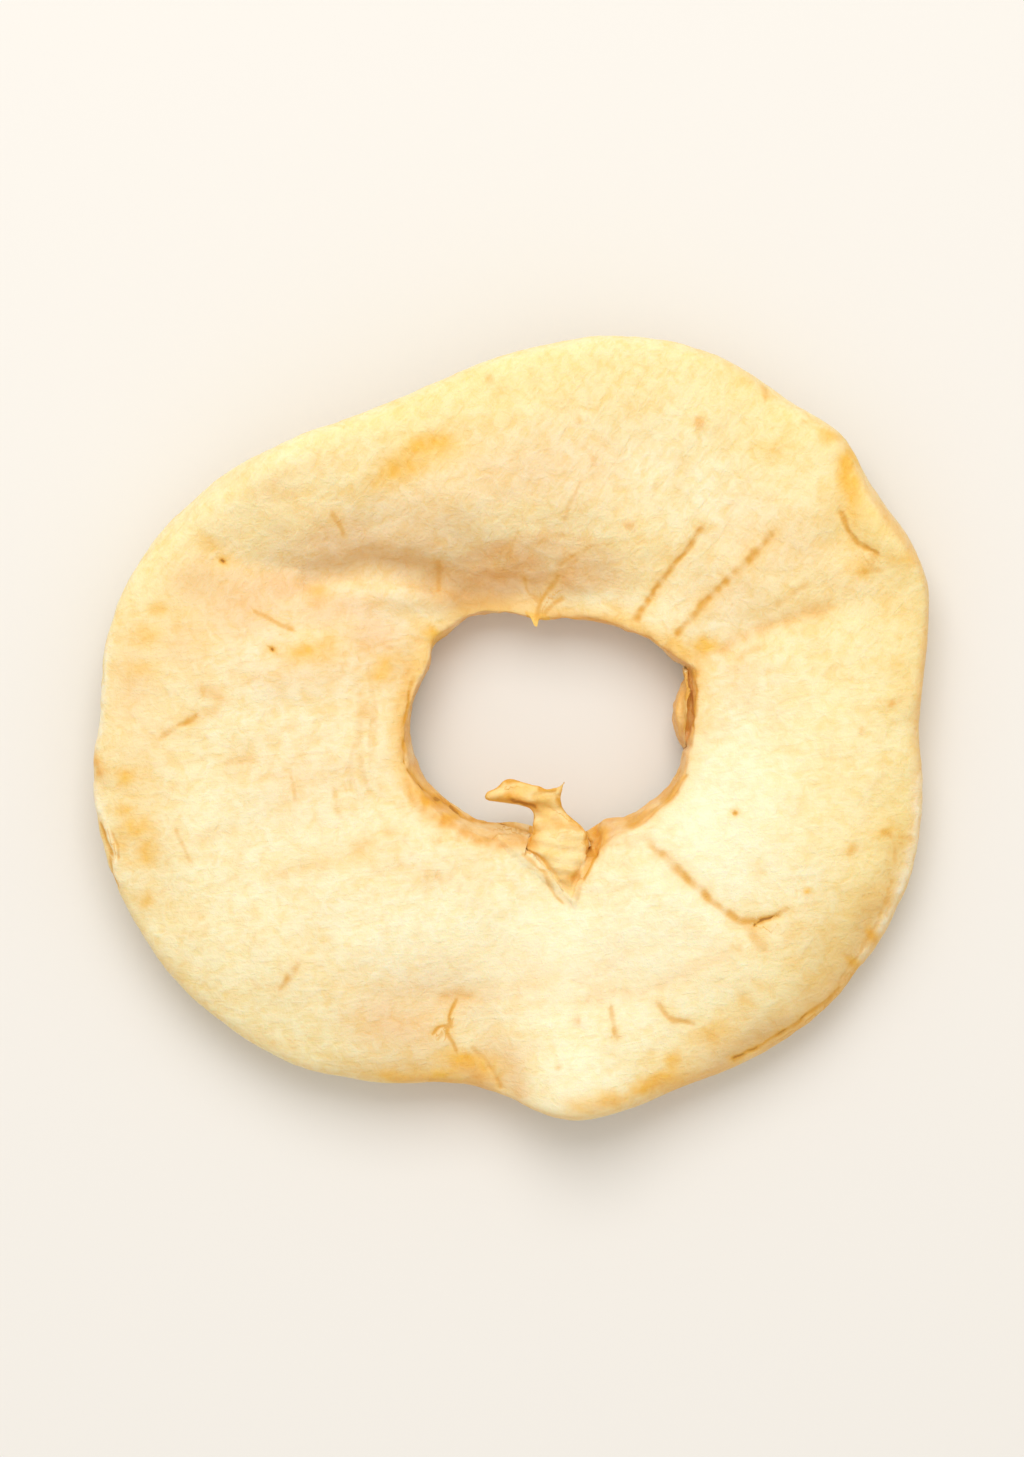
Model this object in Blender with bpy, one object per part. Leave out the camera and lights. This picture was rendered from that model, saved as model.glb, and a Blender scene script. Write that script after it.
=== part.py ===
"""One dried apple ring, warped as it dried, modelled as one closed solid.

Plan sizes are millimetres about the middle of the cored hole, with +X to the
right and +Y up as the ring is seen from above. Angles are degrees from +X.
The object itself is in metres, +Z up, and stands on z = 0.
"""

import itertools
import math

import bmesh
import bpy
from mathutils import Vector, noise

MM = 0.001

# Driving sizes of the slice, in millimetres.
FLESH_THICKNESS = 4.9
HOLE_THICKNESS = 4.1
RIM_THICKNESS = 5.2
RIM_ROUNDING = 1.6
HOLE_ROUNDING = 0.45
UNEVENNESS = 0.16
FOOT_DEPTH = 0.3

# How finely the ring is divided: steps round it, then steps round its section.
STEPS_ROUND = 144
TOP_STEPS = 12
RIM_STEPS = 5
UNDER_STEPS = 10
WALL_STEPS = 5

# The peeled rim and the top edge of the hole: (angle, radius).
RIM_RADIUS = (
    (0, 27.3), (12, 28.3), (22, 30.0), (38, 29.8), (45, 30.6), (54, 30.0), (68, 30.2),
    (81, 29.5), (97, 27.8), (113, 26.9), (124, 27.5), (141, 30.4), (155, 32.7),
    (167, 33.6), (179, 33.4), (185, 34.1), (206, 34.0), (228, 32.0), (242, 29.5),
    (255, 27.2), (264, 27.5), (273, 29.1), (290, 28.3), (312, 29.1), (331, 29.0),
    (341, 28.7), (352, 27.7),
)
HOLE_RADIUS = (
    (0, 10.5), (17, 11.3), (24, 11.5), (31, 10.6), (41, 10.1), (63, 9.0), (82, 8.4),
    (95, 8.3), (113, 9.6), (124, 10.4), (137, 10.7), (145, 11.1), (153, 10.5),
    (171, 10.9), (199, 11.2), (215, 10.7), (235, 10.0), (252, 9.4), (264, 10.0),
    (269, 10.9), (276, 13.0), (282, 11.4), (290, 10.0), (299, 9.4), (315, 9.9),
    (338, 10.5), (352, 10.4),
)

# How far the foot of the cored wall stands inside its top edge: (angle, reach).
WALL_SLANT = (
    (0, 0.8), (20, 0.8), (45, -0.3), (90, -0.6), (150, -0.2), (180, 0.5), (205, 1.6),
    (240, 1.9), (264, 2.7), (276, 5.2), (286, 2.8), (300, 1.9), (325, 1.8),
)

# How the slice warped: (angle, height at the hole, halfway across, at the rim).
WARP = (
    (0, 2.6, 3.3, 2.5), (25, 2.4, 3.0, 3.0), (45, 2.2, 2.9, 3.9), (70, 1.8, 2.6, 3.4),
    (95, 1.4, 1.9, 2.3), (120, 1.2, 1.5, 1.9), (145, 1.5, 1.6, 2.7), (170, 2.2, 2.7, 3.0),
    (195, 2.6, 3.0, 2.0), (220, 2.8, 2.8, 1.0), (245, 2.7, 2.5, 1.0), (262, 2.4, 2.1, 0.8),
    (276, 2.6, 2.6, 2.2), (292, 2.8, 2.8, 1.4), (315, 3.1, 3.5, 1.4), (340, 3.0, 3.8, 1.9),
)

# How far the rim rolls down past its warp, over the last third: (angle, drop).
RIM_DROP = (
    (0, 0.9), (25, 0.5), (45, 0.3), (80, 0.5), (110, 0.8), (140, 0.5), (165, 0.8),
    (200, 1.3), (235, 1.0), (256, 0.6), (275, 0.2), (292, 1.0), (315, 2.2), (340, 1.5),
)
ROLL_FROM = 0.66

# The north side stands up as a terrace past a trough that runs east to west.
TROUGH_START = Vector((-26.7, 13.3))
TROUGH_END = Vector((0.5, 10.5))
TERRACE_RISE = 4.3
TERRACE_SLOPE = 9.0

# Soft swells and hollows of the slice: (x, y, rise, reach along x, reach along y).
SWELLS = (
    (1.6, -27.0, 1.0, 3.2, 4.0),
    (-8.3, -19.8, -0.7, 5.0, 3.0),
    (-24.0, 4.5, 0.5, 5.0, 4.0),
    (-17.0, -14.0, 0.5, 6.0, 5.0),
    (17.0, -12.0, 0.6, 6.0, 7.0),
    (25.0, 17.0, 0.7, 3.4, 4.6),
    (10.0, 20.0, -0.5, 5.5, 5.0),
)

# Folds that show on the top only: (start x, start y, end x, end y, rise, half width).
FOLDS = (
    (-20.0, 12.4, -0.5, 11.2, -0.30, 1.6),
    (-14.5, 10.2, -8.0, 9.7, 0.35, 1.2),
    (11.8, 6.0, 25.5, 10.6, -0.42, 1.6),
    (21.6, 20.5, 21.6, 14.8, -0.55, 1.1),
    (21.6, 14.8, 24.6, 12.6, -0.50, 1.1),
    (-4.6, -22.6, -0.9, -27.8, -0.42, 1.5),
    (-12.1, 19.4, -6.5, 21.2, -0.40, 1.5),
    (7.1, -8.9, 14.0, -13.8, -0.25, 0.9),
)

# The torn core flake in the south notch, section by section along it:
# (y, left x, right x, height over the hole's edge, thickness).
CORE_FLAKE = (
    (-8.8, -2.00, 2.90, 0.05, 1.7),
    (-7.9, -1.60, 2.75, 0.25, 1.6),
    (-7.1, -1.45, 2.35, -0.10, 1.3),
    (-6.6, -1.40, 1.60, -0.35, 1.1),
    (-6.0, -1.40, 1.00, -0.20, 0.9),
    (-5.6, -2.30, 0.80, 0.00, 0.8),
    (-5.2, -5.20, 0.70, 0.25, 0.7),
    (-4.8, -4.70, 0.75, 0.35, 0.7),
    (-4.4, -4.05, 0.90, 0.30, 0.6),
    (-4.05, -3.60, 1.05, 0.15, 0.5),
)
CORE_FLAKE_ANGLES = (257.5, 287.5)
LEAF_ANGLES = (-7.5, 25.0)
LEAF_REACH = 1.5
TAG_ANGLES = (95.0, 100.0)


def around(stations, angle, column=1):
    """Value at an angle of a smooth closed curve through the stations."""
    angle %= 360
    count = len(stations)
    after = next((i for i, s in enumerate(stations) if s[0] > angle), count)
    picked = []
    for i in range(after - 2, after + 2):
        turn, index = divmod(i, count)
        picked.append((stations[index][0] + 360 * turn, stations[index][column]))
    (a0, v0), (a1, v1), (a2, v2), (a3, v3) = picked
    span = a2 - a1
    share = (angle - a1) / span
    start = (v2 - v0) / (a2 - a0) * span
    end = (v3 - v1) / (a3 - a1) * span
    return (
        (2 * share**3 - 3 * share**2 + 1) * v1
        + (share**3 - 2 * share**2 + share) * start
        + (3 * share**2 - 2 * share**3) * v2
        + (share**3 - share**2) * end
    )


def smooth_share(value, low, high):
    """0 at low, 1 at high and an even S curve between them."""
    share = min(1.0, max(0.0, (value - low) / (high - low)))
    return share * share * (3 - 2 * share)


def along_line(x, y, start, end):
    """Distance past the left side of a line, and the nearest point's distance from its segment."""
    point = Vector((x, y))
    run = end - start
    share = (point - start).dot(run) / run.length_squared
    side = run.cross(point - start) / run.length
    nearest = start + run * min(1.0, max(0.0, share))
    return side, (point - nearest).length


def middle_height(x, y):
    """Height of the slice's middle surface over a point of the plan."""
    angle = math.degrees(math.atan2(y, x))
    hole = around(HOLE_RADIUS, angle)
    share = (math.hypot(x, y) - hole) / (around(RIM_RADIUS, angle) - hole)
    height = (
        around(WARP, angle, 1) * (1 - share) * (1 - 2 * share)
        + around(WARP, angle, 2) * 4 * share * (1 - share)
        + around(WARP, angle, 3) * share * (2 * share - 1)
    )
    height -= around(RIM_DROP, angle) * max(0.0, (share - ROLL_FROM) / (1 - ROLL_FROM)) ** 2
    north, _ = along_line(x, y, TROUGH_START, TROUGH_END)
    strength = 1 - 0.65 * smooth_share(x, -4.0, 15.0) - 0.45 * smooth_share(-x, 17.0, 29.0)
    height += TERRACE_RISE * strength * smooth_share(north, -1.0, TERRACE_SLOPE - 1.0)
    for swell_x, swell_y, rise, reach_x, reach_y in SWELLS:
        away = ((x - swell_x) / reach_x) ** 2 + ((y - swell_y) / reach_y) ** 2
        height += rise * math.exp(-away)
    return height


def middle_normal(x, y):
    """Upward normal of the middle surface, from its slopes."""
    step = 0.3
    slope_x = (middle_height(x + step, y) - middle_height(x - step, y)) / (2 * step)
    slope_y = (middle_height(x, y + step) - middle_height(x, y - step)) / (2 * step)
    return Vector((-slope_x, -slope_y, 1)).normalized()


def side_relief(x, y, up):
    """Unevenness of the top (up = 1) or the underside (up = -1), and the top's folds."""
    relief = UNEVENNESS * noise.noise(Vector((x / 3.1, y / 3.1, 7 * up)))
    relief += 2 * UNEVENNESS * noise.noise(Vector((x / 7.3, y / 7.3, 3 * up)))
    if up > 0:
        for x0, y0, x1, y1, rise, reach in FOLDS:
            _, away = along_line(x, y, Vector((x0, y0)), Vector((x1, y1)))
            relief += rise * math.exp(-((away / reach) ** 2))
    return relief


def thickness(across, angle):
    """Thickness at a share of the way across the band, thinnest at the hole."""
    inner = HOLE_THICKNESS + (FLESH_THICKNESS - HOLE_THICKNESS) * smooth_share(across, 0, 0.35)
    outer = (RIM_THICKNESS - FLESH_THICKNESS) * smooth_share(across, 0.5, 0.95)
    uneven = 0.22 * math.sin(math.radians(3 * angle + 40)) + 0.12 * math.sin(math.radians(5 * angle))
    return inner + outer + uneven


def section_points():
    """The section as (share across, roundings past its end, share of the half thickness)."""
    points = [(step / TOP_STEPS, 0.0, 1.0) for step in range(TOP_STEPS)]
    for step in range(RIM_STEPS):
        turn = math.radians(90 - 180 * step / RIM_STEPS)
        points.append((1.0, math.cos(turn) ** 0.8, math.copysign(abs(math.sin(turn)) ** 0.8, turn)))
    points += [(1 - step / UNDER_STEPS, 0.0, -1.0) for step in range(UNDER_STEPS)]
    for step in range(WALL_STEPS):
        turn = math.radians(-90 + 180 * step / WALL_STEPS)
        points.append((0.0, -(math.cos(turn) ** 0.6), math.copysign(abs(math.sin(turn)) ** 0.7, turn)))
    return points


def section_point(angle, ends, across, past_end, up):
    """Where a point of the section goes, in millimetres, for a band between two ends."""
    rounding = RIM_ROUNDING if past_end > 0 else HOLE_ROUNDING
    outwards = Vector((math.cos(math.radians(angle)), math.sin(math.radians(angle)), 0))
    slant = around(WALL_SLANT, angle) * (up - 1) / 2 * (1 - smooth_share(across, 0, 0.25))
    plan = outwards * (ends[0] + (ends[1] - ends[0]) * across + slant)
    normal = middle_normal(plan.x, plan.y)
    along = (outwards - normal * outwards.dot(normal)).normalized()
    middle = Vector((plan.x, plan.y, middle_height(plan.x, plan.y)))
    point = middle + along * past_end * rounding + normal * up * thickness(across, angle) / 2
    point.z += side_relief(plan.x, plan.y, up) * up if abs(up) == 1 else 0.0
    return point


def ring_section(angle):
    """The section at an angle, moved in or out until its edges meet the stated radii."""
    hole, rim = around(HOLE_RADIUS, angle), around(RIM_RADIUS, angle)
    ends = [hole + HOLE_ROUNDING, rim - RIM_ROUNDING]
    for _ in range(4):
        points = [section_point(angle, ends, *station) for station in section_points()]
        ends[0] += hole - points[0].xy.length
        ends[1] += rim - max(point.xy.length for point in points)
    return points


def spun_ring():
    """A plain ring spun from a circle, with the angle and section step of each vertex."""
    count = len(section_points())
    ring = bmesh.new()
    circle = bmesh.ops.create_circle(ring, radius=1.0, segments=count)
    for vertex in circle["verts"]:
        vertex.co = Vector((3.0 + vertex.co.x, 0.0, vertex.co.y))
    bmesh.ops.spin(
        ring, geom=ring.verts[:] + ring.edges[:], axis=(0, 0, 1), cent=(0, 0, 0),
        angle=math.tau, steps=STEPS_ROUND, use_merge=True,
    )
    places = {}
    for vertex in ring.verts:
        turn = math.atan2(vertex.co.y, vertex.co.x) % math.tau
        tip = math.atan2(vertex.co.z, math.hypot(vertex.co.x, vertex.co.y) - 3.0)
        places[vertex] = (round(turn / math.tau * STEPS_ROUND) % STEPS_ROUND, round(-tip / math.tau * count) % count)
    return ring, places


def resting_plane(points):
    """Height of the plane that the points rest on, as a function of x and y."""
    centre = sum(points, Vector()) / len(points)
    lowest = {}
    for point in points:
        sector = int(math.degrees(math.atan2(point.y, point.x)) // 10), int(point.xy.length // 8)
        if sector not in lowest or point.z < lowest[sector].z:
            lowest[sector] = point
    for trio in itertools.combinations(lowest.values(), 3):
        normal = (trio[1] - trio[0]).cross(trio[2] - trio[0])
        turns = [(b - a).xy.cross((centre - a).xy) for a, b in zip(trio, trio[1:] + trio[:1])]
        if min(turns) < 0 < max(turns) or abs(normal.z) < 1:
            continue
        normal /= normal.z
        if all(normal.dot(point - trio[0]) > -1e-6 for point in lowest.values()):
            break
    return lambda x, y: trio[0].z - normal.x * (x - trio[0].x) - normal.y * (y - trio[0].y)


def wall_patch(ring, places, angles, rows):
    """Faces of the cored wall between two angles and two rows, with (across, up) of each vertex."""
    wall_start = len(section_points()) - WALL_STEPS
    shares = {}
    for vertex, (turn, step) in places.items():
        across = 2 * ((turn * 360 / STEPS_ROUND - angles[0]) % 360) / (angles[1] - angles[0]) - 1
        row = (step - wall_start) % len(section_points())
        if across < 1.001 and rows[0] <= row <= rows[1]:
            shares[vertex] = (across, 2 * (row - rows[0]) / (rows[1] - rows[0]) - 1)
    faces = [face for face in ring.faces if all(vertex in shares for vertex in face.verts)]
    return faces, shares


def grow(ring, faces, shares, layers):
    """Extrudes a patch of faces once for each layer, a function from (across, up) to a point."""
    for layer in layers:
        at = {tuple(vertex.co): share for vertex, share in shares.items()}
        made = bmesh.ops.extrude_face_region(ring, geom=faces)["geom"]
        bmesh.ops.delete(ring, geom=faces, context="FACES")
        faces = [item for item in made if isinstance(item, bmesh.types.BMFace)]
        shares = {v: at[tuple(v.co)] for v in made if isinstance(v, bmesh.types.BMVert)}
        for vertex, share in shares.items():
            vertex.co = layer(*share)


def add_core_flake(ring, places):
    """The torn tongue of core that fills the notch and ends in an arm and a spike."""
    faces, shares = wall_patch(ring, places, CORE_FLAKE_ANGLES, (WALL_STEPS - 3, WALL_STEPS - 1))
    root = {(round(u, 3), round(v, 3)): vertex.co.copy() for vertex, (u, v) in shares.items()}
    edge_height = max(point.z for point in root.values())

    def section(u, v, y, left, right, over, thick):
        x = (left + right) / 2 + u * (right - left) / 2
        bulge = 0.45 * (1 - u * u) * (right - left) / 4.5
        z = edge_height + over + bulge + (v - 1) / 2 * thick * (1 - 0.4 * u * u)
        ragged = 0.07 * math.sin(6 * u + 9 * y)
        torn = 0.40 * math.exp(-(((u + 0.65) / 0.3) ** 2)) - 0.35 * math.exp(-(((u - 0.35) / 0.45) ** 2))
        y += smooth_share(y, -4.7, -4.05) * (torn + 0.40 * max(0.0, u) ** 8)
        return Vector((x, y + ragged, z))

    def between(share):
        def place(u, v):
            start = root[(round(u, 3), round(v, 3))]
            point = start.lerp(section(u, v, *CORE_FLAKE[0]), share)
            point.z += 0.45 * math.sin(math.pi * share) * (1 - u * u) * (v + 1) / 2
            return point
        return place

    layers = [between(0.25), between(0.5), between(0.75)]
    layers += [lambda u, v, row=row: section(u, v, *row) for row in CORE_FLAKE]
    grow(ring, faces, shares, layers)


def add_leaf(ring, places):
    """The thin strip of core skin that stands off the east wall, with a groove behind it."""
    faces, shares = wall_patch(ring, places, LEAF_ANGLES, (1, 3))
    root = {(round(u, 3), round(v, 3)): vertex.co.copy() for vertex, (u, v) in shares.items()}

    def turned(inner, outer, inner_rise, outer_rise):
        def place(u, v):
            start = root[(round(u, 3), round(v, 3))]
            size = 0.12 + 0.88 * (1 - u * u)
            share = (v + 1) / 2
            inwards = -Vector((start.x, start.y, 0)).normalized()
            reach = (inner + (outer - inner) * share) * LEAF_REACH * size
            rise = (inner_rise + (outer_rise - inner_rise) * share) * size
            return start + inwards * reach + Vector((0, 0, rise))
        return place

    grow(ring, faces, shares, [
        turned(0.50, 0.40, 0.0, -0.1),
        turned(0.95, 0.42, 0.6, 0.2),
        turned(1.02, 0.42, 1.7, 0.6),
        turned(0.95, 0.40, 2.7, 0.95),
        turned(0.85, 0.36, 3.3, 1.15),
    ])


def add_tag(ring, places):
    """The small torn tag on the north edge of the hole."""
    faces, shares = wall_patch(ring, places, TAG_ANGLES, (WALL_STEPS - 1, WALL_STEPS))
    middle = sum((vertex.co for vertex in shares), Vector()) / len(shares)
    root = {(round(u, 3), round(v, 3)): vertex.co.copy() for vertex, (u, v) in shares.items()}

    def narrowed(reach, rise, share):
        def place(u, v):
            point = root[(round(u, 3), round(v, 3))].lerp(middle, share)
            return point + Vector((0.15 * reach, -reach, rise))
        return place

    grow(ring, faces, shares, [narrowed(0.35, 0.2, 0.3), narrowed(0.7, 0.3, 0.6)])


def build_ring():
    """Lays the spun ring over the warped slice, settles it and adds what the corer tore."""
    ring, places = spun_ring()
    sections = [ring_section(turn * 360 / STEPS_ROUND) for turn in range(STEPS_ROUND)]
    for vertex, (turn, step) in places.items():
        vertex.co = sections[turn][step]
    floor = resting_plane([vertex.co.copy() for vertex in ring.verts])
    for vertex in ring.verts:
        vertex.co.z = max(0.0, vertex.co.z - floor(vertex.co.x, vertex.co.y) - FOOT_DEPTH)
    add_core_flake(ring, places)
    add_leaf(ring, places)
    add_tag(ring, places)
    if ring.calc_volume(signed=True) < 0:
        bmesh.ops.reverse_faces(ring, faces=ring.faces)
    return ring


def finish(ring, name):
    """Centres the ring over the origin, scales it to metres and makes it an object."""
    low = Vector([min(vertex.co[axis] for vertex in ring.verts) for axis in range(3)])
    high = Vector([max(vertex.co[axis] for vertex in ring.verts) for axis in range(3)])
    middle = (low + high) / 2
    bmesh.ops.translate(ring, verts=ring.verts, vec=(-middle.x, -middle.y, -low.z))
    bmesh.ops.scale(ring, verts=ring.verts, vec=(MM, MM, MM))
    mesh = bpy.data.meshes.new(name)
    ring.to_mesh(mesh)
    ring.free()
    mesh.shade_smooth()
    made = bpy.data.objects.new(name, mesh)
    bpy.context.scene.collection.objects.link(made)
    return made


def flesh_material():
    """Dried flesh: pale cream, dull and not metallic."""
    material = bpy.data.materials.new("dried_flesh")
    material.use_nodes = True
    shader = material.node_tree.nodes["Principled BSDF"]
    shader.inputs["Base Color"].default_value = (0.90, 0.74, 0.46, 1)
    shader.inputs["Roughness"].default_value = 0.6
    shader.inputs["Metallic"].default_value = 0.0
    return material


for leftover in list(bpy.data.objects):
    bpy.data.objects.remove(leftover)

apple_ring = finish(build_ring(), "apple_ring")
apple_ring.data.materials.append(flesh_material())
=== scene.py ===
# %% [markdown]
# # A dried apple ring
# This lesson dresses one slice of dried apple. The CAD solid already has its outline, its warp,
# its cored hole and the torn flakes. What it lacks is everything finer than a millimetre: the
# fibres and wrinkles of the flesh, the brown slits and stains, and the colour, which runs from
# cream in the middle through yellow at the peeled rim to tan on the cored wall.
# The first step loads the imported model, because each piece here has to lie where the CAD says.

import math

import bmesh
import bpy
import numpy as np
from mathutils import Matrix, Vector, noise


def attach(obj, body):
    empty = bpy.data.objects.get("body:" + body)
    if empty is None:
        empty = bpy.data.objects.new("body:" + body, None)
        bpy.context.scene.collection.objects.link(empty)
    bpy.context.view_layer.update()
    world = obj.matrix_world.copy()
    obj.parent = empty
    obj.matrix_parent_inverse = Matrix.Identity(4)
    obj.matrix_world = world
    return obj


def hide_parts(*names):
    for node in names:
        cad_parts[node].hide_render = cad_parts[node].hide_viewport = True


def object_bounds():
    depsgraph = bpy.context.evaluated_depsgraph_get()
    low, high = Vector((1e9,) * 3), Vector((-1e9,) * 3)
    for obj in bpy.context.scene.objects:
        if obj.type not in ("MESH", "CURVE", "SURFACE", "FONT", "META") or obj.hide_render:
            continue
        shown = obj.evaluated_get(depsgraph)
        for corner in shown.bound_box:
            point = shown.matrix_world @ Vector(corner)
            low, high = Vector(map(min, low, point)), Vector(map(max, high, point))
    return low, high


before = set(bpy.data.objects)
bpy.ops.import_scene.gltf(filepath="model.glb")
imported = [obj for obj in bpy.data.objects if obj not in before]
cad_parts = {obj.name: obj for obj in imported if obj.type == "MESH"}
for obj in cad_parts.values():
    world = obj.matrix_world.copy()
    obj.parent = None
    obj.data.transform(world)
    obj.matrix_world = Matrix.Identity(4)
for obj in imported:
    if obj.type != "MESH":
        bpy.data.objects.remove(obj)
cad_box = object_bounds()
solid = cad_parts["apple_ring"]
print("CAD box:", cad_box)

# %% [markdown]
# ## Places on the slice
# Every place is in millimetres about the middle of the hole, which lies a little off the middle
# of the slice. Marks and stains were read off the photograph in pixels, so one function turns a
# pixel into such a place. One pixel there is 0.147 mm on a slice 62 mm wide.

# %% Millimetres and pixels
MM = 0.001
HOLE_MIDDLE = (2.94, -0.03)
PHOTO_MIDDLE = (506.5, 731.7)
PHOTO_PIXEL = 0.1469


def from_photo(px, py):
    """Place on the slice, in millimetres about the hole, of a pixel of the photograph."""
    return np.array([(px - PHOTO_MIDDLE[0]) * PHOTO_PIXEL, (PHOTO_MIDDLE[1] - py) * PHOTO_PIXEL])


print("left end of the slice, mm:", from_photo(276, 753).round(1))

# %% [markdown]
# ## A finer skin
# The solid is made of flat triangles about a millimetre across. A real slice is smooth at that
# size, so its triangles are merged and joined to four-sided faces, and Subdivision Surface
# rounds them. Sculpting by hand would do as well, but it can't be repeated from a script.

# %% Merge, join and subdivide the solid's mesh
MERGE_WITHIN = 1e-6
MOST_BENT, MOST_SKEWED = math.radians(60), math.radians(80)
SUBDIVISIONS = 2


def finer_copy(source, levels):
    """A merged copy of a solid's mesh, rounded by Subdivision Surface, as a new mesh."""
    shape = bmesh.new()
    shape.from_mesh(source.data)
    bmesh.ops.remove_doubles(shape, verts=shape.verts, dist=MERGE_WITHIN)
    bmesh.ops.join_triangles(
        shape, faces=shape.faces, angle_face_threshold=MOST_BENT, angle_shape_threshold=MOST_SKEWED)
    coarse = bpy.data.meshes.new("slice_coarse")
    shape.to_mesh(coarse)
    shape.free()
    carrier = bpy.data.objects.new("slice_carrier", coarse)
    bpy.context.scene.collection.objects.link(carrier)
    rounding = carrier.modifiers.new("rounding", "SUBSURF")
    rounding.levels = rounding.render_levels = levels
    depsgraph = bpy.context.evaluated_depsgraph_get()
    fine = bpy.data.meshes.new_from_object(carrier.evaluated_get(depsgraph))
    print("faces before and after:", len(coarse.polygons), len(fine.polygons))
    bpy.data.objects.remove(carrier)
    bpy.data.meshes.remove(coarse)
    return fine


fine = finer_copy(solid, SUBDIVISIONS)

# %% [markdown]
# ## The slits and wrinkles
# As a slice dries, the flesh splits along the threads between its seed pockets and shrinks into
# short wrinkles. Each is a broken line here, with a half width, a depth, how brown it is, and
# how far it breaks up into beads.

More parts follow.
